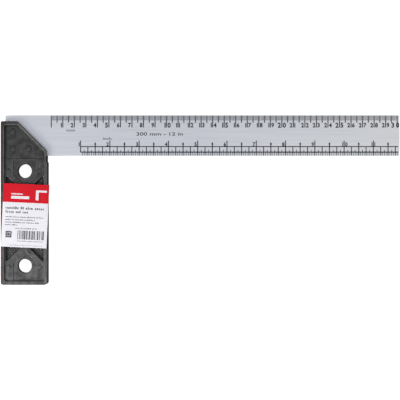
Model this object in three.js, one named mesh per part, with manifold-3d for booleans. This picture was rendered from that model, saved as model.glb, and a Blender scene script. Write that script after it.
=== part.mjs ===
// A fixed try-and-mitre square: a steel rule held for good in a moulded stock of two halves.
//
// Lengths are millimetres. The origin is the square's inner corner, where the plane of the stock's working
// face meets the rule's inner edge, halfway through the thickness. +X runs along the rule towards its free
// end, +Y across the rule towards its outer edge, and +Z towards the front of the square.

import * as THREE from 'three';
import { mergeVertices } from 'three/addons/utils/BufferGeometryUtils.js';
import Module from 'manifold-3d';

const wasm = await Module();
wasm.setup();

// Driving dimensions of the stock
const STOCK_WIDTH = 40;
const STOCK_TOP = 29.7;
const STOCK_FOOT = -111.7;
const STOCK_HALF = 7;
const CORNER_RADIUS = 1.5;
const FOOT_RADIUS = 2.2;
const MITRE_FOOT = 3.8;
const MITRE_RADIUS = 5;
const RELIEF_DEPTH = 0.7;
const RELIEF_FOOT = -5.9;

// Rim round each face of the stock, and the levels inside it, as heights above the mid-plane
const RIM_OUTER = 3;
const RIM_INNER = 2;
const RIM_MITRE = 1.6;
const LEDGE_LEVEL = 4.8;
const FIELD_LEVEL = 4;
const POCKET_LEVEL = 1.8;
const WALL_DRAFT = 0.5;
const FIELD_DRAFT = 0.25;
const POCKET_DRAFT = 0.7;
const LEDGE_STRIP = 0.5;
const FIELD_RADIUS = 0.8;
const POCKET_RADIUS = 1.1;

// Hanging holes, and the sunken field shaped like a gable round each one
const HOLE_RADIUS = 6;
const HOLE_MIDDLE = -54.4;
const HOLE_OFFSET = 41.05;
const FIELD_HALF_WIDTH = 10;
const HEAD_FIELD_FOOT = -3.1;
const FIELD_GAP = 0.7;

// Crossed ribs between the holes, at 45 degrees to the stock
const RIB_WIDTH = 4.2;
const RIB_OFFSET = 42.2;

// Rule blade
const BLADE_LEFT = -36.8;
const BLADE_RIGHT = 305;
const BLADE_WIDTH = 35;
const BLADE_HALF = 0.5;
const BLADE_RADIUS = 0.4;
const CLEARANCE = 0.3;

// Rivets through the blade, and pins through the stock beside the hanging holes
const RIVET_PLACES = [
  [-29.6, 20.8],
  [-29.6, 6.1],
  [-16, 6.1],
];
const RIVET = { shank: 1.5, head: 2.6, seat: 3, crown: 4, dome: 0.3 };
const PIN = { shank: 1.3, head: 1.9, seat: 3.8, crown: 4.6, dome: 0.2 };
const BORE_GAP = 0.2;
const SEAT_GAP = 0.2;
const PIN_LIFT = 0.8;

// A domed head from its edge to its crown: share of the head's radius, and of the dome's height below the crown
const DOME_CURVE = [
  [1, 1],
  [0.8, 0.4],
  [0.5, 0.1],
  [0, 0],
];

// Sticker across the front of the stock
const LABEL_WIDTH = 39.4;
const LABEL_HEIGHT = 54.7;
const LABEL_THICKNESS = 0.15;
const LABEL_TURN = THREE.MathUtils.degToRad(-2.6);
const LABEL_MIDDLE = [-18.8, -52];

// Values that follow from those
const RECESS_LEFT = -STOCK_WIDTH + RIM_OUTER;
const RECESS_RIGHT = -RIM_INNER;
const RECESS_TOP = STOCK_TOP - RIM_OUTER;
const RECESS_FOOT = STOCK_FOOT + RIM_OUTER;
const RECESS_MITRE = MITRE_FOOT - RIM_MITRE * Math.SQRT2;
const CENTRE_X = (RECESS_LEFT + RECESS_RIGHT) / 2;
const RIB_RISE = (RIB_WIDTH / 2) * Math.SQRT2;
const ARC_STEPS = 4;
const HOLE_SEGMENTS = 48;
const SMALL_SEGMENTS = 24;
const MERGE_TOLERANCE = 1e-4;

function toSolid(geometry) {
  const bare = geometry.clone();
  bare.deleteAttribute('normal');
  bare.deleteAttribute('uv');
  const merged = mergeVertices(bare, MERGE_TOLERANCE);
  const mesh = new wasm.Mesh({
    numProp: 3,
    vertProperties: new Float32Array(merged.attributes.position.array),
    triVerts: new Uint32Array(merged.index.array),
  });
  return new wasm.Manifold(mesh);
}

function toGeometry(solid) {
  const mesh = solid.getMesh();
  const geometry = new THREE.BufferGeometry();
  geometry.setAttribute('position', new THREE.BufferAttribute(new Float32Array(mesh.vertProperties), 3));
  geometry.setIndex(new THREE.BufferAttribute(new Uint32Array(mesh.triVerts), 1));
  geometry.computeVertexNormals();
  return geometry;
}

function cutFrom(solid, cutters) {
  return cutters.reduce((left, cutter) => left.subtract(toSolid(cutter)), solid);
}

// The arc that rounds a corner between the directions toLast and toNext and runs into both sides
function arcPoints(corner, toLast, toNext, radius) {
  const halfAngle = Math.acos(toLast.dot(toNext)) / 2;
  const centre = toLast.clone().add(toNext).setLength(radius / Math.sin(halfAngle)).add(corner);
  const start = toLast.clone().setLength(radius / Math.tan(halfAngle)).add(corner);
  const sweep = Math.sign(toNext.cross(toLast)) * (Math.PI - 2 * halfAngle);
  return Array.from({ length: ARC_STEPS + 1 }, (_, step) => (
    start.clone().rotateAround(centre, (sweep * step) / ARC_STEPS)
  ));
}

// A closed outline through corners given as [x, y, radius]
function outline(corners) {
  const points = corners.flatMap(([x, y, radius = 0], i) => {
    const corner = new THREE.Vector2(x, y);
    const toLast = new THREE.Vector2(...corners.at(i - 1)).sub(corner).normalize();
    const toNext = new THREE.Vector2(...corners[(i + 1) % corners.length]).sub(corner).normalize();
    return radius > 0 ? arcPoints(corner, toLast, toNext, radius) : [corner];
  });
  return new THREE.Shape(points);
}

function prism(shape, from, to) {
  return new THREE.ExtrudeGeometry(shape, { depth: to - from, bevelEnabled: false }).translate(0, 0, from);
}

// The space inside a moulded recess: the outline is at height rim, and the walls lean in by draft down to floor.
function recess(shape, floor, rim, draft) {
  const settings = {
    depth: STOCK_HALF,
    bevelEnabled: true,
    bevelThickness: rim - floor,
    bevelSize: draft,
    bevelOffset: -draft,
    bevelSegments: 1,
  };
  return new THREE.ExtrudeGeometry(shape, settings).translate(0, 0, rim);
}

function roundBar(x, y, radius, from, to, segments = SMALL_SEGMENTS) {
  const bar = new THREE.CylinderGeometry(radius, radius, to - from, segments);
  return bar.rotateX(Math.PI / 2).translate(x, y, (from + to) / 2);
}

function stockOutline() {
  const reliefX = -RELIEF_DEPTH;
  return outline([
    [-STOCK_WIDTH, STOCK_TOP, CORNER_RADIUS],
    [-STOCK_WIDTH, STOCK_FOOT, FOOT_RADIUS],
    [0, STOCK_FOOT, FOOT_RADIUS],
    [0, RELIEF_FOOT],
    [reliefX, RELIEF_FOOT + RELIEF_DEPTH],
    [reliefX, MITRE_FOOT - reliefX, MITRE_RADIUS],
    [MITRE_FOOT - STOCK_TOP, STOCK_TOP, CORNER_RADIUS],
  ]);
}

function recessOutline() {
  return outline([
    [RECESS_LEFT, RECESS_TOP, CORNER_RADIUS],
    [RECESS_LEFT, RECESS_FOOT, FOOT_RADIUS],
    [RECESS_RIGHT, RECESS_FOOT, FOOT_RADIUS],
    [RECESS_RIGHT, RECESS_MITRE - RECESS_RIGHT, MITRE_RADIUS],
    [RECESS_MITRE - RECESS_TOP, RECESS_TOP, CORNER_RADIUS],
  ]);
}

// The floor over the blade, a strip in from the recess walls
function headField() {
  const strip = WALL_DRAFT + LEDGE_STRIP;
  const mitre = RECESS_MITRE - strip * Math.SQRT2;
  return outline([
    [RECESS_LEFT + strip, RECESS_TOP - strip, FIELD_RADIUS],
    [RECESS_LEFT + strip, HEAD_FIELD_FOOT, FIELD_RADIUS],
    [RECESS_RIGHT - strip, HEAD_FIELD_FOOT, FIELD_RADIUS],
    [RECESS_RIGHT - strip, mitre - RECESS_RIGHT + strip, CORNER_RADIUS],
    [mitre - RECESS_TOP + strip, RECESS_TOP - strip, FIELD_RADIUS],
  ]);
}

// The gabled field round a hanging hole. side is 1 for the upper hole and -1 for the lower.
function holeField(side) {
  const gable = HOLE_MIDDLE + side * (RIB_OFFSET - (RECESS_RIGHT - CENTRE_X) + RIB_RISE);
  const eaves = gable + side * FIELD_HALF_WIDTH;
  const end = side > 0 ? HEAD_FIELD_FOOT - FIELD_GAP : RECESS_FOOT + WALL_DRAFT + LEDGE_STRIP;
  return outline([
    [CENTRE_X - FIELD_HALF_WIDTH, end, FIELD_RADIUS],
    [CENTRE_X - FIELD_HALF_WIDTH, eaves, FIELD_RADIUS],
    [CENTRE_X, gable, FIELD_RADIUS],
    [CENTRE_X + FIELD_HALF_WIDTH, eaves, FIELD_RADIUS],
    [CENTRE_X + FIELD_HALF_WIDTH, end, FIELD_RADIUS],
  ]);
}

// The deep triangle between one wall and two crossed ribs. across is 1 at the working face and -1 at the outer.
function wallPocket(across, side) {
  const wallX = CENTRE_X + across * ((RECESS_RIGHT - RECESS_LEFT) / 2 - WALL_DRAFT - LEDGE_STRIP);
  const reach = RECESS_RIGHT - CENTRE_X;
  const crossing = HOLE_MIDDLE + side * (RIB_OFFSET - reach);
  const half = Math.abs(wallX - CENTRE_X) - RIB_RISE;
  return outline([
    [wallX, crossing + half, POCKET_RADIUS],
    [wallX, crossing - half, POCKET_RADIUS],
    [wallX - across * half, crossing, POCKET_RADIUS],
  ]);
}

// The deep six-sided pocket in the middle, between the two crossings
function middlePocket() {
  const reach = RECESS_RIGHT - CENTRE_X;
  const tip = RIB_OFFSET - reach - RIB_RISE;
  const halfWidth = reach - WALL_DRAFT - LEDGE_STRIP;
  const shoulder = tip - halfWidth;
  return outline([
    [CENTRE_X, HOLE_MIDDLE + tip, POCKET_RADIUS],
    [CENTRE_X - halfWidth, HOLE_MIDDLE + shoulder, POCKET_RADIUS],
    [CENTRE_X - halfWidth, HOLE_MIDDLE - shoulder, POCKET_RADIUS],
    [CENTRE_X, HOLE_MIDDLE - tip, POCKET_RADIUS],
    [CENTRE_X + halfWidth, HOLE_MIDDLE - shoulder, POCKET_RADIUS],
    [CENTRE_X + halfWidth, HOLE_MIDDLE + shoulder, POCKET_RADIUS],
  ]);
}

function hangingHole(side) {
  const y = HOLE_MIDDLE + side * HOLE_OFFSET;
  return roundBar(CENTRE_X, y, HOLE_RADIUS, -1, STOCK_HALF, HOLE_SEGMENTS);
}

// The slot for the blade's tang: half of it is in each half of the stock, open at the top and at the mitre
function tangSlot() {
  const left = BLADE_LEFT - CLEARANCE;
  const right = CLEARANCE;
  const top = STOCK_TOP + CLEARANCE;
  return prism(outline([[left, top], [left, 0], [right, 0], [right, top]]), -BLADE_HALF, BLADE_HALF);
}

// The pins stand midway between a hole's field and the walls of the recess, a little past the hole's centre
function pinPlaces() {
  const offset = (FIELD_HALF_WIDTH + RECESS_RIGHT - CENTRE_X - WALL_DRAFT) / 2;
  return [1, -1].flatMap((side) => [-1, 1].map((across) => [
    CENTRE_X + across * offset,
    HOLE_MIDDLE + side * (HOLE_OFFSET + PIN_LIFT),
  ]));
}

function fastenerSeats(places, { shank, head, seat }) {
  return places.flatMap(([x, y]) => [
    roundBar(x, y, shank + BORE_GAP, -1, STOCK_HALF),
    roundBar(x, y, head + SEAT_GAP, seat, STOCK_HALF),
  ]);
}

function frontShell() {
  const pockets = [1, -1].flatMap((side) => [-1, 1].map((across) => wallPocket(across, side)));
  pockets.push(middlePocket());
  return toGeometry(cutFrom(toSolid(prism(stockOutline(), 0, STOCK_HALF)), [
    recess(recessOutline(), LEDGE_LEVEL, STOCK_HALF, WALL_DRAFT),
    recess(headField(), FIELD_LEVEL, LEDGE_LEVEL, FIELD_DRAFT),
    ...[1, -1].map((side) => recess(holeField(side), FIELD_LEVEL, LEDGE_LEVEL, FIELD_DRAFT)),
    ...pockets.map((pocket) => recess(pocket, POCKET_LEVEL, LEDGE_LEVEL, POCKET_DRAFT)),
    ...[1, -1].map((side) => hangingHole(side)),
    tangSlot(),
    ...fastenerSeats(RIVET_PLACES, RIVET),
    ...fastenerSeats(pinPlaces(), PIN),
  ]));
}

// The same shape on the other side of the mid-plane, with each triangle turned so that it still faces out
function mirrored(geometry) {
  const copy = geometry.clone().scale(1, 1, -1);
  const index = copy.index.array;
  for (let i = 0; i < index.length; i += 3) {
    [index[i], index[i + 1]] = [index[i + 1], index[i]];
  }
  copy.computeVertexNormals();
  return copy;
}

// The rule. Inside the stock its inner edge is set back by the clearance, so that only the exposed edge is ground.
function bladeGeometry() {
  const stepX = -RELIEF_DEPTH + CLEARANCE;
  const shape = outline([
    [BLADE_LEFT, BLADE_WIDTH, BLADE_RADIUS],
    [BLADE_LEFT, CLEARANCE, BLADE_RADIUS],
    [stepX, CLEARANCE],
    [stepX, 0],
    [BLADE_RIGHT, 0, BLADE_RADIUS],
    [BLADE_RIGHT, BLADE_WIDTH, BLADE_RADIUS],
  ]);
  const bores = RIVET_PLACES.map(([x, y]) => (
    roundBar(x, y, RIVET.shank + BORE_GAP, -STOCK_HALF, STOCK_HALF)
  ));
  return toGeometry(cutFrom(toSolid(prism(shape, -BLADE_HALF, BLADE_HALF)), bores));
}

// A fastener set from both sides: a domed head on each seat, joined by the shank
function fastenerGeometry({ shank, head, seat, crown, dome }) {
  const half = [
    [shank, seat],
    [head, seat],
    ...DOME_CURVE.map(([reach, drop]) => [head * reach, crown - dome * drop]),
  ];
  const lower = half.map(([r, z]) => [r, -z]).reverse();
  const profile = [...lower, ...half].map(([r, z]) => new THREE.Vector2(r, z));
  return new THREE.LatheGeometry(profile, SMALL_SEGMENTS).rotateX(Math.PI / 2);
}

// A sheet stuck across the rim a little askew, so its upper right corner stands out past the working face
function labelGeometry() {
  return new THREE.BoxGeometry(LABEL_WIDTH, LABEL_HEIGHT, LABEL_THICKNESS)
    .rotateZ(LABEL_TURN)
    .translate(...LABEL_MIDDLE, STOCK_HALF + LABEL_THICKNESS / 2);
}

function plastic() {
  return new THREE.MeshStandardMaterial({ color: 0x2b2b2d, roughness: 0.55, metalness: 0 });
}

function steel() {
  return new THREE.MeshStandardMaterial({ color: 0xb9bdc4, roughness: 0.35, metalness: 1 });
}

function blackenedSteel() {
  return new THREE.MeshStandardMaterial({ color: 0x3a3b3e, roughness: 0.45, metalness: 0.8 });
}

function printedPaper() {
  return new THREE.MeshStandardMaterial({ color: 0xe4e4ea, roughness: 0.35, metalness: 0 });
}

const square = new THREE.Group();

function addPiece(name, geometry, material, x = 0, y = 0) {
  const piece = new THREE.Mesh(geometry, material);
  piece.name = name;
  piece.position.set(x, y, 0);
  square.add(piece);
}

const shell = frontShell();
addPiece('stock_front_shell', shell, plastic());
addPiece('stock_back_shell', mirrored(shell), plastic());
addPiece('blade', bladeGeometry(), steel());
RIVET_PLACES.forEach(([x, y], i) => {
  addPiece(`blade_rivet_${i + 1}`, fastenerGeometry(RIVET), blackenedSteel(), x, y);
});
pinPlaces().forEach(([x, y], i) => {
  addPiece(`stock_pin_${i + 1}`, fastenerGeometry(PIN), plastic(), x, y);
});
addPiece('product_label', labelGeometry(), printedPaper());

export default square;
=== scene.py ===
"""Looks of a fixed try-and-mitre square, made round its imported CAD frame.

The frame is in metres: +X along the blade, +Y across it towards its outer edge, +Z out of the labelled face.
Lengths below are in millimetres in the same frame, apart from materials, lamps and the camera's place.
"""

import math
import random

import bmesh
import bpy
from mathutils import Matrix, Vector


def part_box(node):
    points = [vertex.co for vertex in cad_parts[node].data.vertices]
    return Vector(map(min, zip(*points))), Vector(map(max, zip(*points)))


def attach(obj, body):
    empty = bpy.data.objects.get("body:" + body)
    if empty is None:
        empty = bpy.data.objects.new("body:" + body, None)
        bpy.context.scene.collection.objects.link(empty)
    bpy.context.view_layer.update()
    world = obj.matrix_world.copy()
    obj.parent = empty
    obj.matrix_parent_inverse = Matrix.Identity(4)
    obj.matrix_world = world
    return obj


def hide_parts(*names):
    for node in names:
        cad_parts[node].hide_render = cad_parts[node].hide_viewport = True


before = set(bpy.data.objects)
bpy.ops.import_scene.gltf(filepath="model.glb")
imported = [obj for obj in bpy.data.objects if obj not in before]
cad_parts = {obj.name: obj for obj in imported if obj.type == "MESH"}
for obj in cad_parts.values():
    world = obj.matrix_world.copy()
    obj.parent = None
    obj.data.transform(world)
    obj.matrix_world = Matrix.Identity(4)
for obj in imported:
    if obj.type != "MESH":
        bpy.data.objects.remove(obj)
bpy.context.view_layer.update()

MM = 0.001


def box_mm(node):
    """Lowest and highest corner of a CAD node, in millimetres."""
    low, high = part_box(node)
    return Vector(low) / MM, Vector(high) / MM


SHELL_LOW, SHELL_HIGH = box_mm("stock_front_shell")
BLADE_LOW, BLADE_HIGH = box_mm("blade")

# Distance below which points are one point, in metres and as drawn in millimetres, and angle below which two
# faces are one flat face
SAME_POINT = 1e-6
SAME_DRAWN_POINT = 1e-4
FLAT = math.radians(0.5)

# The stock's levels, as heights above the mid-plane
RIM_LEVEL = SHELL_HIGH.z
LEDGE_LEVEL = 4.8
FIELD_LEVEL = 4.0
POCKET_LEVEL = 1.8
LEVEL_GAP = 0.01

# The stock's layout: its recess inside the rim, the pockets between crossed ribs, and the head above them.
# RIB_RISE is half of a rib's width, measured along Y.
LEFT_RIM = 3.0
RIGHT_RIM = 2.0
POCKET_INSET = 1.0
RECESS_LEFT = SHELL_LOW.x + LEFT_RIM
RECESS_RIGHT = SHELL_HIGH.x - RIGHT_RIM
CENTRE_X = (RECESS_LEFT + RECESS_RIGHT) / 2
POCKET_REACH = RECESS_RIGHT - CENTRE_X - POCKET_INSET
POCKET_DRAFT = 0.7
POCKET_MIDDLE = -54.4
CROSSING_OFFSET = 24.7
RIB_RISE = 2.97
HEAD_FOOT = -3.4

# A face that comes nearer to the mid-plane than this is an outer wall
FLANK_LEVEL = 1.0

# Where the painted highlight on the stock's right side starts, and where it is brightest
SIDE_HIGHLIGHT_FROM = SHELL_HIGH.x - 3.2
SIDE_HIGHLIGHT_FULLY = SHELL_HIGH.x - 1.2

# Material slots of a moulding: its faces and floors, its rounded edges that are painted pale as a highlight,
# and its outer walls
PLAIN, WEAR_AND_HIGHLIGHT, FLANK = 0, 1, 2

# Angles from which an edge is rounded and shaded sharp, and radii of the rounded edges
SHARP = math.radians(25)
CREASE = math.radians(40)
RIM_ROUND = 0.4
LEDGE_ROUND = 0.2
FLOOR_ROUND = 0.12
SEAM_ROUND = 0.12
BLADE_ROUND = 0.06
RIVET_ROUND = 0.1
PIN_ROUND = 0.08

# How far small shapes reach into the floor that they stand on
SUNK = 0.05

# Knurled dots on the pocket floors
DOT_PITCH = 2.2
KNURL_RADIUS = 0.75
KNURL_HEIGHT = 0.55
KNURL_MARGIN = 0.5
KNURL_SIDES = 10
KNURL_ROWS = 30
KNURL_COLUMNS = 12

# Dome of a dot from its foot to its crown: share of its radius, and of its height
KNURL_DOME = [(1, 0), (0.85, 0.55), (0.5, 0.9), (0.15, 1)]

# Marks of ejector pins on the shallow floors: x, y and radius
EJECTOR_MARKS = (
    (-29.1, -102.9, 2.4),
    (-6.3, -100.8, 1.9),
    (-16.6, -87.2, 2.2),
    (-24.5, 12.9, 2.4),
    (-10.5, 3.5, 1.9),
)
MARK_WIDTH = 0.28
MARK_HEIGHT = 0.12

# Values between which nearly all of a noise lies
NOISE_LOW, NOISE_HIGH = 0.3, 0.7

# Share of the blade's length at which a painted reflection starts to make its steel paler
PALER_FROM = 0.4

# Printing on the blade. A tick is its length from the outer edge and its width on the centimetre scale, and
# its upper end and its width on the inch scale.
INK_TOP = 0.5
INK_SINK = 0.01
INK_THICKNESS = 0.02
EDGE_GAP = 0.15
SCALE_ZERO = 3.0
CM_MARKS = 300
MM_TICK = (4.4, 0.43)
HALF_CM_TICK = (6.3, 0.84)
CM_TICK = (10.5, 0.84)
CM_TICKS = ((10, CM_TICK), (5, HALF_CM_TICK), (1, MM_TICK))
INCH = 25.4
SIXTEENTHS = 16
INCH_END = 304.0
LOWER_LINE = 3.15
LOWER_LINE_WIDTH = 1.0
UPPER_LINE = 7.9
UPPER_LINE_WIDTH = 0.8
SIXTEENTH_TICK = (LOWER_LINE, 0.44)
EIGHTH_TICK = (LOWER_LINE + 2.1, 0.5)
QUARTER_TICK = (UPPER_LINE, 0.78)
HALF_INCH_TICK = (11.5, 0.84)
INCH_TICK = (13.2, 0.84)
INCH_TICKS = ((16, INCH_TICK), (8, HALF_INCH_TICK), (4, QUARTER_TICK), (2, EIGHTH_TICK), (1, SIXTEENTH_TICK))
HALF_INCH_DOT = 10.2
HALF_DOT_RADIUS = 0.8
DOT_SIDES = 24

# Lettering on the blade. FIGURE_WIDTH is the share of its height that a figure is wide at most, and the last
# three are the share of its width that lies left of its place.
FIGURE_HEIGHT = 4.0
BIG_FIGURE_HEIGHT = 4.5
INCH_FIGURE_HEIGHT = 3.6
FIGURE_GAP = 0.4
FIGURE_WIDTH = 0.66
CONDENSED = 0.92
EXTENDED = 1.6
BOLDNESS = 0.04
NOTE_BOLDNESS = 0.012
CURVE_STEPS = 3
CM_FIGURE_MIDDLE = 26.5
INCH_FIGURE_MIDDLE = 9.9
STARTS, CENTRED, ENDS = 0, 0.5, 1

# Notes on the blade: wording, height, and middle across and along
NOTES = (
    ("mm", 1.5, 21.8, 19.8),
    ("inch", 2.1, 14.9, 51.5),
    ("300 mm - 12 in", 3.0, 18.9, 96.9),
)

# Label
LABEL_MIDDLE = (-18.8, -52.0)
LABEL_WIDTH = 39.4
LABEL_HEIGHT = 54.7
LABEL_TURN = math.radians(-2.6)
LABEL_SAG = 0.15
LABEL_DROOP = 0.16
PAPER = 0.1
PRINT_THICKNESS = 0.012
RED_BAND = 16.1
LABEL_CELL = 1.2

# Lines of strokes that stand for text: left end, middle, length and height
DUMMY_LINES = (
    (2.6, 20.9, 34.0, 2.1),
    (2.8, 24.3, 19.5, 2.1),
    (2.8, 28.6, 32.5, 1.1),
    (2.8, 31.0, 25.5, 1.1),
    (2.8, 33.3, 29.0, 1.1),
    (2.6, 35.5, 10.5, 1.1),
    (11.8, 38.4, 18.0, 1.0),
    (13.9, 49.2, 22.5, 0.8),
    (7.5, 53.0, 27.5, 0.5),
)

# Seed of the label's random draws, and letters in the first word of a line and in the others
SEED = 5
FIRST_WORD = (3, 9)
LATER_WORD = (2, 9)

# Shares of a line's height: least and most width of a stroke, its height, which is small three times in four,
# and the gaps after a stroke and after a word
STROKE_WIDTHS = (0.4, 0.65)
STROKE_HEIGHTS = (0.7, 0.7, 0.7, 1.0)
STROKE_GAP = 0.25
WORD_GAP = 0.6

# A row of bars of random widths and gaps
BARS_LEFT, BARS_RIGHT = 13.9, 36.0
BARS_TOP = 40.2
BARS_HEIGHT = 7.6
BAR_WIDTHS = (0.3, 0.6, 0.9, 1.2)
BAR_GAPS = (0.3, 0.3, 0.6, 0.9)

# A framed square beside the bars, and a picture of a square and two plain bars on the red band: left, top,
# width and height of each stroke
SYMBOL = (
    (3.6, 41.0, 5.2, 1.2),
    (3.6, 45.4, 5.2, 1.2),
    (3.6, 42.2, 1.2, 3.2),
    (7.6, 42.2, 1.2, 3.2),
    (5.1, 42.5, 2.2, 2.6),
)
PICTURE = (
    (28.2, 5.0, 2.4, 8.6),
    (30.6, 5.0, 7.0, 1.7),
    (7.0, 10.6, 15.5, 2.4),
    (7.0, 8.4, 10.0, 0.9),
)

# Studio, in metres and watts. A lamp is its place, the point it shines on, its size, its power and colour.
WHITE = (1, 1, 1)
COOL = (0.98, 0.985, 1)
LAMPS = {
    "key": ((-0.35, -0.30, 0.40), (-0.02, -0.05, 0), 0.3, 4.6, WHITE),
    "front": ((0.3, -0.75, 1.8), (0.3, -0.75, 0), 1.0, 4.0, WHITE),
    "top": ((0.75, 0.1, 1.8), (0.75, 0.1, 0), 3.4, 16.6, COOL),
}
SKY_STRENGTH = 0.45
DARK = (0.04, 0.04, 0.04)
HORIZON = 0.35
FLOOR_REACH = 3.0

# Camera, straight above the middle of the view: its place in metres, and its lens in millimetres
CAMERA_PLACE = (0.132, -0.0384, 1.05)
FOCAL_LENGTH = 108.9
SENSOR_WIDTH = 36


def steps(start, end, pitch):
    """Evenly spaced values from start to end, no farther apart than pitch."""
    count = max(1, math.ceil(abs(end - start) / pitch))
    return [start + (end - start) * i / count for i in range(count + 1)]


def shade(form):
    """Smooth shading that stops at edges of more than CREASE."""
    for face in form.faces:
        face.smooth = True
    for edge in form.edges:
        edge.smooth = edge.is_manifold and edge.calc_face_angle() < CREASE


def link(made):
    """Puts a new object in the scene."""
    bpy.context.scene.collection.objects.link(made)
    return made


def even_normals(made):
    """Lets the large faces set the shading, and keeps the sharp edges."""
    normals = made.modifiers.new("normals", "WEIGHTED_NORMAL")
    normals.keep_sharp = True


class Drawing:
    """Closed shapes in millimetres that together make one piece. place() says where a drawn point goes."""

    def __init__(self, place=lambda x, y, z: (x, y, z)):
        self.place = place
        self.points = []
        self.faces = []
        self.slots = []

    def add(self, points, faces, slot_of=lambda x, y: 0):
        """Adds a closed shape. slot_of() gives the material slot of a face from its middle."""
        first = len(self.points)
        self.points += [self.place(*point) for point in points]
        for face in faces:
            self.faces.append([first + corner for corner in face])
            middle_x = sum(points[corner][0] for corner in face) / len(face)
            middle_y = sum(points[corner][1] for corner in face) / len(face)
            self.slots.append(slot_of(middle_x, middle_y))

    def slab(self, xs, ys, floor, top, slot_of=lambda x, y: 0):
        """A flat slab on the grid xs by ys, so that place() can bend it."""
        wide, deep = len(xs), len(ys)
        level = wide * deep
        points = [(x, y, z) for z in (floor, top) for y in ys for x in xs]
        faces = []
        for j in range(deep - 1):
            for i in range(wide - 1):
                corner = j * wide + i
                cell = [corner, corner + 1, corner + 1 + wide, corner + wide]
                faces.append(cell[::-1])
                faces.append([level + c for c in cell])
        edge = list(range(wide))
        edge += [j * wide + wide - 1 for j in range(1, deep)]
        edge += [(deep - 1) * wide + i for i in reversed(range(wide - 1))]
        edge += [j * wide for j in reversed(range(1, deep - 1))]
        for here, there in zip(edge, edge[1:] + edge[:1]):
            faces.append([here, there, level + there, level + here])
        self.add(points, faces, slot_of)

    def bar(self, left, right, low, high, floor, top, cell=math.inf):
        """A flat bar, cut into cells no longer than cell where place() bends it."""
        self.slab(steps(left, right, cell), steps(low, high, cell), floor, top)

    def revolve(self, x, y, profile, sides):
        """A solid of revolution about a line along Z. profile is its radius and height, from end to end."""
        points = []
        for radius, height in profile:
            for i in range(sides):
                angle = 2 * math.pi * i / sides
                points.append((x + radius * math.cos(angle), y + radius * math.sin(angle), height))
        faces = [list(reversed(range(sides))), [(len(profile) - 1) * sides + i for i in range(sides)]]
        for ring in range(len(profile) - 1):
            for i in range(sides):
                here, there = ring * sides + i, ring * sides + (i + 1) % sides
                faces.append([here, there, there + sides, here + sides])
        self.add(points, faces)

    def washer(self, x, y, inner, outer, floor, top, sides=36):
        """A low ring, such as the witness mark of an ejector pin."""
        profile = [(inner, floor), (outer, floor), (outer, top), (inner, top)]
        points = []
        for i in range(sides):
            angle = 2 * math.pi * i / sides
            points += [(x + r * math.cos(angle), y + r * math.sin(angle), z) for r, z in profile]
        faces = []
        for i in range(sides):
            here, there = 4 * i, 4 * ((i + 1) % sides)
            for k in range(4):
                after = (k + 1) % 4
                faces.append([here + k, there + k, there + after, here + after])
        self.add(points, faces)

    def piece(self, name, materials, slot):
        """Makes the drawn shapes one piece that rides on the square's only body."""
        mesh = bpy.data.meshes.new(name)
        form = bmesh.new()
        corners = [form.verts.new(point) for point in self.points]
        for face, material in zip(self.faces, self.slots):
            form.faces.new([corners[c] for c in face]).material_index = material
        bmesh.ops.remove_doubles(form, verts=form.verts, dist=SAME_DRAWN_POINT)
        bmesh.ops.recalc_face_normals(form, faces=form.faces)
        bmesh.ops.scale(form, vec=(MM, MM, MM), verts=form.verts)
        shade(form)
        form.to_mesh(mesh)
        form.free()
        for material in materials:
            mesh.materials.append(material)
        made = link(bpy.data.objects.new(name, mesh))
        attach(made, "root")
        return made


# ---------------------------------------------------------------- materials


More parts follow.
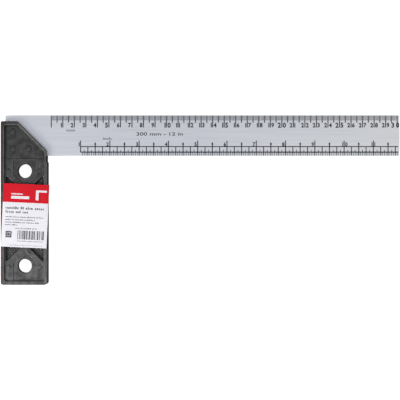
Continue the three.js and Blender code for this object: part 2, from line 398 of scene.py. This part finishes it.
class Material:
    """A Principled material and short ways to add the nodes that vary it.

    Scales are in cells per metre, and heights and distances in metres.
    """

    def __init__(self, name):
        self.material = bpy.data.materials.new(name)
        self.material.use_nodes = True
        self.nodes = self.material.node_tree.nodes
        self.links = self.material.node_tree.links
        self.shader = self.nodes["Principled BSDF"]
        self.place = self.nodes.new("ShaderNodeTexCoord").outputs["Object"]

    def noise(self, scale, detail, stretch=(1, 1, 1)):
        """Noise from about NOISE_LOW to NOISE_HIGH. stretch makes its cells smaller along X, Y and Z."""
        mapping = self.nodes.new("ShaderNodeMapping")
        mapping.inputs["Scale"].default_value = stretch
        self.links.new(self.place, mapping.inputs["Vector"])
        noise = self.nodes.new("ShaderNodeTexNoise")
        noise.inputs["Scale"].default_value = scale
        noise.inputs["Detail"].default_value = detail
        self.links.new(mapping.outputs["Vector"], noise.inputs["Vector"])
        return noise.outputs["Fac"]

    def spread(self, value, low, high, start=NOISE_LOW, end=NOISE_HIGH):
        """value, mapped so that start gives low and end gives high."""
        node = self.nodes.new("ShaderNodeMapRange")
        node.inputs["From Min"].default_value = start
        node.inputs["From Max"].default_value = end
        node.inputs["To Min"].default_value = low
        node.inputs["To Max"].default_value = high
        self.links.new(value, node.inputs["Value"])
        return node.outputs["Result"]

    def colours(self, value, first, second, start=NOISE_LOW, end=NOISE_HIGH):
        """A colour that goes from first to second as value goes from start to end."""
        ramp = self.nodes.new("ShaderNodeValToRGB")
        ramp.color_ramp.elements[0].position = start
        ramp.color_ramp.elements[0].color = (*first, 1)
        ramp.color_ramp.elements[1].position = end
        ramp.color_ramp.elements[1].color = (*second, 1)
        self.links.new(value, ramp.inputs["Fac"])
        return ramp.outputs["Color"]

    def multiply(self, first, second):
        """The product of two colours."""
        mix = self.nodes.new("ShaderNodeMix")
        mix.data_type = "RGBA"
        mix.blend_type = "MULTIPLY"
        mix.inputs["Factor"].default_value = 1
        self.links.new(first, mix.inputs["A"])
        self.links.new(second, mix.inputs["B"])
        return mix.outputs["Result"]

    def bump(self, height, strength, distance, before=None):
        """Adds a bump as deep as distance on top of the bump before it."""
        node = self.nodes.new("ShaderNodeBump")
        node.inputs["Strength"].default_value = strength
        node.inputs["Distance"].default_value = distance
        self.links.new(height, node.inputs["Height"])
        if before is not None:
            self.links.new(before, node.inputs["Normal"])
        self.links.new(node.outputs["Normal"], self.shader.inputs["Normal"])
        return node.outputs["Normal"]

    def feed(self, name, value):
        """Gives the shader a value that varies over the surface."""
        self.links.new(value, self.shader.inputs[name])

    def fix(self, name, value):
        """Gives the shader a value that is the same all over the surface."""
        self.shader.inputs[name].default_value = value

    def along(self, axis):
        """Place along X, Y or Z of the frame, in metres."""
        axes = self.nodes.new("ShaderNodeSeparateXYZ")
        self.links.new(self.place, axes.inputs["Vector"])
        return axes.outputs[axis]

    def from_mid_plane(self):
        """Distance from the mid-plane, in metres, so that the front and back of the stock look alike."""
        size = self.nodes.new("ShaderNodeMath")
        size.operation = "ABSOLUTE"
        self.links.new(self.along("Z"), size.inputs[0])
        return size.outputs["Value"]


def grey(value):
    return value, value, value


def moulded_plastic(name, deep, shallow):
    """Black plastic with a spark-eroded texture and painted shade in its recesses. deep is its grey in the
    pockets, and shallow on the fields.

    It has painted light: it is paler towards its foot, and paler on its right side as a painted highlight.
    """
    m = Material(name)
    m.fix("Specular IOR Level", 0.3)
    cloud = m.colours(m.noise(210, detail=5), (0.4, 0.4, 0.39), grey(1.6))
    scuffs = m.colours(m.noise(90, detail=4, stretch=(3.5, 1, 1)), (0.8, 0.8, 0.79), grey(1.25))
    grain = m.multiply(scuffs, m.colours(m.noise(1500, detail=2), grey(0.8), grey(1.2)))
    # Painted shade: the plastic is darker the deeper it lies, darkest on the pocket floors.
    above_pocket_floor = m.spread(m.from_mid_plane(), 0, 1, start=POCKET_LEVEL * MM, end=FIELD_LEVEL * MM)
    painted_recess_shade = m.colours(above_pocket_floor, grey(deep), grey(shallow), start=0, end=1)
    # Painted light: the plastic is paler towards the stock's foot.
    lengthwise = m.spread(m.along("Y"), 0, 1, start=SHELL_LOW.y * MM, end=0)
    painted_foot_light = m.colours(lengthwise, grey(1.95), grey(0.8), start=0, end=1)
    # Painted highlight: the plastic is paler along the stock's right side.
    across = m.spread(m.along("X"), 0, 1, start=SIDE_HIGHLIGHT_FROM * MM, end=SIDE_HIGHLIGHT_FULLY * MM)
    painted_side_highlight = m.colours(across, grey(1), grey(1.6), start=0, end=1)
    tone = m.multiply(m.multiply(painted_recess_shade, painted_foot_light), painted_side_highlight)
    m.feed("Base Color", m.multiply(tone, m.multiply(cloud, grain)))
    m.feed("Roughness", m.spread(m.noise(220, detail=3), 0.36, 0.5))
    coarse = m.bump(m.noise(1400, detail=3), strength=0.35, distance=0.00006)
    m.bump(m.noise(260, detail=2), strength=0.25, distance=0.0002, before=coarse)
    return m.material


def worn_plastic():
    """The same plastic on the raised edges: smoother, where handling has polished them, and paler, as a
    painted highlight.
    """
    m = Material("worn_plastic")
    cloud = m.colours(m.noise(120, detail=4), (0.7, 0.7, 0.69), grey(1.3))
    grain = m.colours(m.noise(1500, detail=2), (0.075, 0.075, 0.074), grey(0.105))
    m.feed("Base Color", m.multiply(cloud, grain))
    m.feed("Roughness", m.spread(m.noise(300, detail=3), 0.26, 0.4))
    m.bump(m.noise(1400, detail=3), strength=0.2, distance=0.00004)
    return m.material


def knurled_plastic():
    """The same plastic on the dots, painted paler than the pocket floors round them as a highlight."""
    m = Material("knurled_plastic")
    m.feed("Base Color", m.colours(m.noise(300, detail=3), (0.03, 0.03, 0.031), grey(0.12)))
    m.feed("Roughness", m.spread(m.noise(500, detail=2), 0.26, 0.42))
    m.bump(m.noise(1800, detail=2), strength=0.3, distance=0.00004)
    return m.material


def blackened_steel():
    m = Material("blackened_steel")
    m.fix("Specular IOR Level", 0.3)
    m.feed("Base Color", m.colours(m.noise(500, detail=3), (0.012, 0.012, 0.0125), (0.026, 0.026, 0.027)))
    m.feed("Roughness", m.spread(m.noise(800, detail=2), 0.4, 0.6))
    m.bump(m.noise(1600, detail=3), strength=0.3, distance=0.00004)
    return m.material


def brushed_steel():
    """Steel with long fine lines along the blade, in colour, roughness and height. It is paler and less blue
    outwards, a painted reflection.
    """
    m = Material("brushed_steel")
    m.fix("Metallic", 1.0)
    lines = m.noise(60, detail=4, stretch=(0.35, 45, 45))
    broad = m.noise(12, detail=2, stretch=(0.6, 3, 1))
    tone = m.colours(lines, grey(0.93), grey(1.05))
    cast = m.colours(broad, (0.98, 0.985, 0.99), (1.02, 1.015, 1.01))
    end = BLADE_HIGH.x * MM
    # Painted reflection: the steel is paler and less blue towards the blade's far end.
    painted_reflection = m.colours(m.along("X"), (0.545, 0.56, 0.61), (0.64, 0.65, 0.665), PALER_FROM * end, end)
    m.feed("Base Color", m.multiply(m.multiply(painted_reflection, cast), tone))
    m.feed("Roughness", m.spread(lines, 0.3, 0.42))
    m.bump(lines, strength=0.12, distance=0.00003)
    return m.material


def scale_ink():
    m = Material("scale_ink")
    m.fix("Specular IOR Level", 0.2)
    m.feed("Base Color", m.colours(m.noise(900, detail=3), (0.008, 0.008, 0.012), (0.024, 0.024, 0.032)))
    m.feed("Roughness", m.spread(m.noise(700, detail=2), 0.5, 0.7))
    m.bump(m.noise(2500, detail=2), strength=0.15, distance=0.00001)
    return m.material


def glossy_paper(name, light, dark):
    """Coated label stock: even colour, a clear sheen and the faint waves of paper stuck over a hollow."""
    m = Material(name)
    m.fix("Specular IOR Level", 0.1)
    m.fix("Coat Weight", 0.15)
    m.fix("Coat Roughness", 0.1)
    m.feed("Base Color", m.colours(m.noise(60, detail=3), dark, light))
    m.feed("Roughness", m.spread(m.noise(400, detail=2), 0.25, 0.38))
    waves = m.bump(m.noise(45, detail=1), strength=0.1, distance=0.0003)
    m.bump(m.noise(3000, detail=2), strength=0.08, distance=0.00001, before=waves)
    return m.material


def print_ink():
    m = Material("print_ink")
    m.feed("Base Color", m.colours(m.noise(1200, detail=3), (0.03, 0.028, 0.036), (0.08, 0.075, 0.09)))
    m.feed("Roughness", m.spread(m.noise(700, detail=2), 0.32, 0.5))
    return m.material


def pale_floor():
    """A floor bright enough to show as white."""
    m = Material("pale_floor")
    m.fix("Base Color", (0.3, 0.3, 0.3, 1))
    m.fix("Roughness", 0.9)
    m.fix("Specular IOR Level", 0.0)
    m.fix("Emission Color", (1, 1, 1, 1))
    m.fix("Emission Strength", 0.95)
    return m.material


# ---------------------------------------------------------------- carried CAD nodes


def dress(node, material, rounding, segments=2):
    """Gives a CAD node its material and rounds its edges by that radius in millimetres."""
    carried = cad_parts[node]
    carried.data.materials.clear()
    carried.data.materials.append(material)
    for polygon in carried.data.polygons:
        polygon.material_index = 0
        polygon.use_smooth = True
    weld = carried.modifiers.new("weld", "WELD")
    weld.merge_threshold = SAME_POINT
    flat = carried.modifiers.new("flat", "DECIMATE")
    flat.decimate_type = "DISSOLVE"
    flat.angle_limit = FLAT
    bevel = carried.modifiers.new("bevel", "BEVEL")
    bevel.width = rounding * MM
    bevel.segments = segments
    bevel.use_clamp_overlap = False
    bevel.limit_method = "ANGLE"
    bevel.angle_limit = SHARP
    even_normals(carried)


def is_sharp(edge):
    return edge.is_manifold and edge.calc_face_angle() > SHARP


def at_level(edge, level):
    """True if both ends of the edge are at that height above or below the mid-plane, in millimetres."""
    return all(abs(abs(vertex.co.z) / MM - level) < LEVEL_GAP for vertex in edge.verts)


def on_ledge(edge):
    """True on the raised edge of the ledge inside the rim."""
    return edge.is_convex and at_level(edge, LEDGE_LEVEL)


def in_head(edge):
    return all(vertex.co.y / MM > HEAD_FOOT for vertex in edge.verts)


def is_outer_wall(face):
    return min(abs(vertex.co.z) for vertex in face.verts) < FLANK_LEVEL * MM


def round_edges(form, radius, wanted, surface=PLAIN, segments=3):
    """Rounds the sharp edges that wanted() picks, as one bevel of that radius in millimetres."""
    edges = [edge for edge in form.edges if is_sharp(edge) and wanted(edge)]
    bmesh.ops.bevel(
        form,
        geom=edges,
        offset=radius * MM,
        offset_type="OFFSET",
        segments=segments,
        profile=0.5,
        affect="EDGES",
        clamp_overlap=False,
        loop_slide=False,
        material=surface,
    )


def shell_form(side):
    """The CAD shell again, with the round edges of a moulding, painted pale as a highlight on its rim and
    below its head.
    """
    form = bmesh.new()
    form.from_mesh(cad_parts[f"stock_{side}_shell"].data)
    bmesh.ops.remove_doubles(form, verts=form.verts, dist=SAME_POINT)
    bmesh.ops.dissolve_limit(form, angle_limit=FLAT, verts=form.verts, edges=form.edges)
    # The rim's edges, and the ledge's edges below the head, take the plastic that is painted pale as a
    # highlight.
    round_edges(form, RIM_ROUND, lambda edge: at_level(edge, RIM_LEVEL), WEAR_AND_HIGHLIGHT)
    round_edges(form, LEDGE_ROUND, lambda edge: on_ledge(edge) and in_head(edge))
    round_edges(form, LEDGE_ROUND, lambda edge: on_ledge(edge) and not in_head(edge), WEAR_AND_HIGHLIGHT)
    round_edges(form, FLOOR_ROUND, lambda edge: at_level(edge, FIELD_LEVEL) or at_level(edge, POCKET_LEVEL))
    round_edges(form, SEAM_ROUND, lambda edge: at_level(edge, 0))
    for face in form.faces:
        if face.material_index == PLAIN and is_outer_wall(face):
            face.material_index = FLANK
    shade(form)
    return form


def stock_shell(side, materials):
    """The piece that stands for one CAD shell. materials are in the order of the slots for its faces, its
    edges painted pale as a highlight, and its outer walls.
    """
    form = shell_form(side)
    mesh = bpy.data.meshes.new(f"stock_{side}_moulding")
    form.to_mesh(mesh)
    form.free()
    for material in materials:
        mesh.materials.append(material)
    made = link(bpy.data.objects.new(mesh.name, mesh))
    even_normals(made)
    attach(made, "root")
    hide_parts(f"stock_{side}_shell")


def carried_nodes():
    # The outer walls take a copy of the plastic whose painted shade is nearly even, so that they are not
    # darkened like the pockets.
    plastic = moulded_plastic("moulded_plastic", deep=0.011, shallow=0.025)
    flank = moulded_plastic("flank_plastic", deep=0.018, shallow=0.021)
    wear_and_highlight = worn_plastic()
    steel = blackened_steel()
    for side in ("front", "back"):
        stock_shell(side, [plastic, wear_and_highlight, flank])
    dress("blade", brushed_steel(), BLADE_ROUND, segments=1)
    for i in (1, 2, 3):
        dress(f"blade_rivet_{i}", steel, RIVET_ROUND)
    for i in (1, 2, 3, 4):
        dress(f"stock_pin_{i}", plastic, PIN_ROUND)


# ---------------------------------------------------------------- stock details


def in_pocket(x, y):
    """True if a point lies on the floor of one of the five deep pockets, clear of its walls."""
    inset = POCKET_DRAFT + KNURL_MARGIN
    across = abs(x - CENTRE_X)
    if across > POCKET_REACH - inset:
        return False
    along = abs(y - POCKET_MIDDLE)
    rib = RIB_RISE + inset * math.sqrt(2)
    beyond = abs(along - CROSSING_OFFSET)
    in_side = across - beyond > rib
    in_middle = along < CROSSING_OFFSET and beyond - across > rib
    return in_side or in_middle


def knurl(side):
    """Staggered rows of low domes on the pocket floors of one face."""
    drawing = Drawing(place=lambda x, y, z: (x, y, side * z))
    row_pitch = DOT_PITCH * math.sqrt(3) / 2
    foot = POCKET_LEVEL - SUNK
    dome = [(KNURL_RADIUS * out, foot + KNURL_HEIGHT * up) for out, up in KNURL_DOME]
    for row in range(-KNURL_ROWS, KNURL_ROWS + 1):
        y = POCKET_MIDDLE + row * row_pitch
        for column in range(-KNURL_COLUMNS, KNURL_COLUMNS + 1):
            x = CENTRE_X + (column + 0.5 * (row % 2)) * DOT_PITCH
            if in_pocket(x, y):
                drawing.revolve(x, y, dome, KNURL_SIDES)
    return drawing


def ejector_marks(side):
    """Faint raised rings that the mould's ejector pins leave on the shallow floors."""
    drawing = Drawing(place=lambda x, y, z: (x, y, side * z))
    for x, y, radius in EJECTOR_MARKS:
        drawing.washer(x, y, radius - MARK_WIDTH, radius, FIELD_LEVEL - SUNK, FIELD_LEVEL + MARK_HEIGHT)
    return drawing


def stock_details():
    knurl_highlight = knurled_plastic()
    plastic = bpy.data.materials["moulded_plastic"]
    for name, side in (("front", 1), ("back", -1)):
        knurl(side).piece(f"pocket_knurl_{name}", [knurl_highlight], "stock_plastic")
        ejector_marks(side).piece(f"ejector_marks_{name}", [plastic], "stock_plastic")


# ---------------------------------------------------------------- printing on the blade


def figure_shape(text, height, stretch, boldness):
    """Points and faces of upright lettering of that height, from x = 0 on y = 0. stretch widens it."""
    curve = bpy.data.curves.new("figure", "FONT")
    curve.body = text
    curve.extrude = INK_TOP
    curve.offset = boldness
    curve.resolution_u = CURVE_STEPS
    holder = link(bpy.data.objects.new("figure", curve))
    graph = bpy.context.evaluated_depsgraph_get()
    mesh = bpy.data.meshes.new_from_object(holder.evaluated_get(graph))
    points = [vertex.co.copy() for vertex in mesh.vertices]
    faces = [list(polygon.vertices) for polygon in mesh.polygons]
    bpy.data.objects.remove(holder)
    bpy.data.curves.remove(curve)
    bpy.data.meshes.remove(mesh)
    left = min(p.x for p in points)
    low = min(p.y for p in points)
    size = height / (max(p.y for p in points) - low)
    points = [((p.x - left) * size * stretch, (p.y - low) * size, p.z) for p in points]
    return points, faces


def ink_place(x, y, z):
    """z is -INK_TOP at the underside of the ink and INK_TOP at its face."""
    share = (z + INK_TOP) / (2 * INK_TOP)
    return x, y, BLADE_HIGH.z - INK_SINK + share * (INK_SINK + INK_THICKNESS)


def write(drawing, text, height, middle_y, place_x, share, stretch=CONDENSED, boldness=BOLDNESS):
    """Lettering that starts, is centred or ends at place_x, as share says."""
    points, faces = figure_shape(text, height, stretch, boldness)
    left = place_x - share * max(p[0] for p in points)
    low = middle_y - height / 2
    drawing.add([(left + x, low + y, z) for x, y, z in points], faces)


def straddle(drawing, number, height, middle_y, tick_x):
    """A scale number: one figure ends at its tick, and of two figures one stands on each side."""
    gap = CM_TICK[1] / 2 + FIGURE_GAP
    past_end = max(0, tick_x + gap + height * FIGURE_WIDTH - BLADE_HIGH.x)
    figures = str(number)
    write(drawing, figures[0], height, middle_y, tick_x - gap - past_end, ENDS)
    if len(figures) == 2:
        write(drawing, figures[1], height, middle_y, tick_x + gap - past_end, STARTS)


def tick(drawing, x, low, high, width):
    drawing.bar(x - width / 2, x + width / 2, low, high, -INK_TOP, INK_TOP)


def tick_at(mark, ticks):
    """The tick of the longest spacing, counted in marks, that this mark falls on."""
    return next(kind for every, kind in ticks if mark % every == 0)


def centimetre_scale():
    drawing = Drawing(ink_place)
    top = BLADE_HIGH.y - EDGE_GAP
    for mark in range(CM_MARKS + 1):
        length, width = tick_at(mark, CM_TICKS)
        tick(drawing, SCALE_ZERO + mark, BLADE_HIGH.y - length, top, width)
    return drawing


def inch_scale():
    drawing = Drawing(ink_place)
    low = BLADE_LOW.y + EDGE_GAP
    last_mark = int((INCH_END - SCALE_ZERO) / INCH * SIXTEENTHS)
    for mark in range(SIXTEENTHS, last_mark + 1):
        high, width = tick_at(mark, INCH_TICKS)
        x = SCALE_ZERO + mark * INCH / SIXTEENTHS
        tick(drawing, x, LOWER_LINE if mark == SIXTEENTHS else low, high, width)
    return drawing


def inch_lines():
    drawing = Drawing(ink_place)
    first = SCALE_ZERO + INCH
    for middle, width in ((LOWER_LINE, LOWER_LINE_WIDTH), (UPPER_LINE, UPPER_LINE_WIDTH)):
        drawing.bar(first, INCH_END, middle - width / 2, middle + width / 2, -INK_TOP, INK_TOP)
    disc = [(HALF_DOT_RADIUS, -INK_TOP), (HALF_DOT_RADIUS, INK_TOP)]
    half = SCALE_ZERO + INCH * 1.5
    while half < INCH_END:
        drawing.revolve(half, HALF_INCH_DOT, disc, DOT_SIDES)
        half += INCH
    return drawing


def scale_figures():
    drawing = Drawing(ink_place)
    for number in range(1, CM_MARKS // 10 + 1):
        height = BIG_FIGURE_HEIGHT if number % 5 == 0 else FIGURE_HEIGHT
        straddle(drawing, number, height, CM_FIGURE_MIDDLE, SCALE_ZERO + 10 * number)
    for number in range(1, int((INCH_END - SCALE_ZERO) / INCH) + 1):
        straddle(drawing, number, INCH_FIGURE_HEIGHT, INCH_FIGURE_MIDDLE, SCALE_ZERO + INCH * number)
    for text, height, middle_y, middle_x in NOTES:
        write(drawing, text, height, middle_y, middle_x, CENTRED, EXTENDED, NOTE_BOLDNESS)
    return drawing


def blade_printing():
    ink = scale_ink()
    centimetre_scale().piece("scale_cm_ticks", [ink], "scale_ink")
    inch_scale().piece("scale_inch_ticks", [ink], "scale_ink")
    inch_lines().piece("scale_inch_lines", [ink], "scale_ink")
    scale_figures().piece("scale_figures", [ink], "scale_ink")


# ---------------------------------------------------------------- label


def label_place(x, y, z):
    """A point of the label laid over the stock's rims. x runs from its left edge, y down and z from its back.

    The sheet sags between the rims, and droops where its corner stands out past the stock.
    """
    u = x - LABEL_WIDTH / 2
    v = LABEL_HEIGHT / 2 - y
    world_x = LABEL_MIDDLE[0] + u * math.cos(LABEL_TURN) - v * math.sin(LABEL_TURN)
    world_y = LABEL_MIDDLE[1] + u * math.sin(LABEL_TURN) + v * math.cos(LABEL_TURN)
    across = (world_x - RECESS_LEFT) / (RECESS_RIGHT - RECESS_LEFT)
    sag = LABEL_SAG * math.sin(math.pi * min(1, max(0, across))) ** 2
    droop = LABEL_DROOP * max(0, world_x - SHELL_HIGH.x) ** 2
    return world_x, world_y, RIM_LEVEL - sag - droop + z


def label_sheet():
    drawing = Drawing(label_place)
    rows = steps(0, RED_BAND, LABEL_CELL)[:-1] + steps(RED_BAND, LABEL_HEIGHT, LABEL_CELL)
    columns = steps(0, LABEL_WIDTH, LABEL_CELL)
    drawing.slab(columns, rows, 0, PAPER, lambda x, y: 1 if y < RED_BAND else 0)
    return drawing


def print_bar(drawing, left, top, width, height):
    drawing.bar(left, left + width, top, top + height, PAPER / 2, PAPER + PRINT_THICKNESS, LABEL_CELL)


def dummy_line(drawing, dice, left, middle, length, height):
    """A line of small strokes in groups, which stands for text without saying anything."""
    x = left
    letters_left = dice.randint(*FIRST_WORD)
    while x < left + length:
        width = height * dice.uniform(*STROKE_WIDTHS)
        tall = height * dice.choice(STROKE_HEIGHTS)
        print_bar(drawing, x, middle + height / 2 - tall, width, tall)
        x += width + height * STROKE_GAP
        letters_left -= 1
        if letters_left == 0:
            x += height * WORD_GAP
            letters_left = dice.randint(*LATER_WORD)


def label_text():
    drawing = Drawing(label_place)
    dice = random.Random(SEED)
    for left, middle, length, height in DUMMY_LINES:
        dummy_line(drawing, dice, left, middle, length, height)
    x = BARS_LEFT
    while x < BARS_RIGHT:
        width = dice.choice(BAR_WIDTHS)
        print_bar(drawing, x, BARS_TOP, width, BARS_HEIGHT)
        x += width + dice.choice(BAR_GAPS)
    for stroke in SYMBOL:
        print_bar(drawing, *stroke)
    return drawing


def label_picture():
    """A generic picture of a square, white on the red band, with two plain bars beside it."""
    drawing = Drawing(label_place)
    for stroke in PICTURE:
        print_bar(drawing, *stroke)
    return drawing


def label():
    white = glossy_paper("label_white", (0.555, 0.55, 0.578), (0.525, 0.52, 0.553))
    red = glossy_paper("label_red", (0.46, 0.003, 0.012), (0.41, 0.002, 0.009))
    sheet = label_sheet().piece("label_sheet", [white, red], "label_paper")
    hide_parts("product_label")
    label_text().piece("label_text", [print_ink()], "label_print")
    label_picture().piece("label_picture", [white], "label_paper")


# ---------------------------------------------------------------- surroundings


def floor():
    mesh = bpy.data.meshes.new("floor")
    form = bmesh.new()
    bmesh.ops.create_grid(form, x_segments=1, y_segments=1, size=FLOOR_REACH)
    bmesh.ops.translate(form, verts=form.verts, vec=(0, 0, -RIM_LEVEL * MM))
    form.to_mesh(mesh)
    form.free()
    mesh.materials.append(pale_floor())
    made = link(bpy.data.objects.new("floor", mesh))
    made.visible_glossy = False


def area_light(name, place, target, size, power, colour):
    lamp = bpy.data.lights.new(name, "AREA")
    lamp.shape = "SQUARE"
    lamp.size = size
    lamp.energy = power
    lamp.color = colour
    made = link(bpy.data.objects.new(name, lamp))
    made.location = place
    made.rotation_euler = (Vector(target) - Vector(place)).to_track_quat("-Z", "Y").to_euler()


def sky():
    """Even light from above that fades to dark below the horizon."""
    world = bpy.data.worlds.new("studio")
    world.use_nodes = True
    nodes, links = world.node_tree.nodes, world.node_tree.links
    axes = nodes.new("ShaderNodeSeparateXYZ")
    links.new(nodes.new("ShaderNodeTexCoord").outputs["Generated"], axes.inputs["Vector"])
    ramp = nodes.new("ShaderNodeValToRGB")
    ramp.color_ramp.elements[0].position = 0.0
    ramp.color_ramp.elements[0].color = (*DARK, 1)
    ramp.color_ramp.elements[1].position = HORIZON
    ramp.color_ramp.elements[1].color = (*COOL, 1)
    links.new(axes.outputs["Z"], ramp.inputs["Fac"])
    background = nodes["Background"]
    links.new(ramp.outputs["Color"], background.inputs["Color"])
    background.inputs["Strength"].default_value = SKY_STRENGTH
    bpy.context.scene.world = world


def surroundings():
    floor()
    for name, lamp in LAMPS.items():
        area_light(name, *lamp)
    sky()
    bpy.context.scene.view_settings.view_transform = "Standard"


def camera():
    lens = bpy.data.cameras.new("camera")
    lens.sensor_width = SENSOR_WIDTH
    lens.lens = FOCAL_LENGTH
    made = link(bpy.data.objects.new("camera", lens))
    made.location = CAMERA_PLACE
    bpy.context.scene.camera = made


carried_nodes()
stock_details()
blade_printing()
label()
surroundings()
camera()
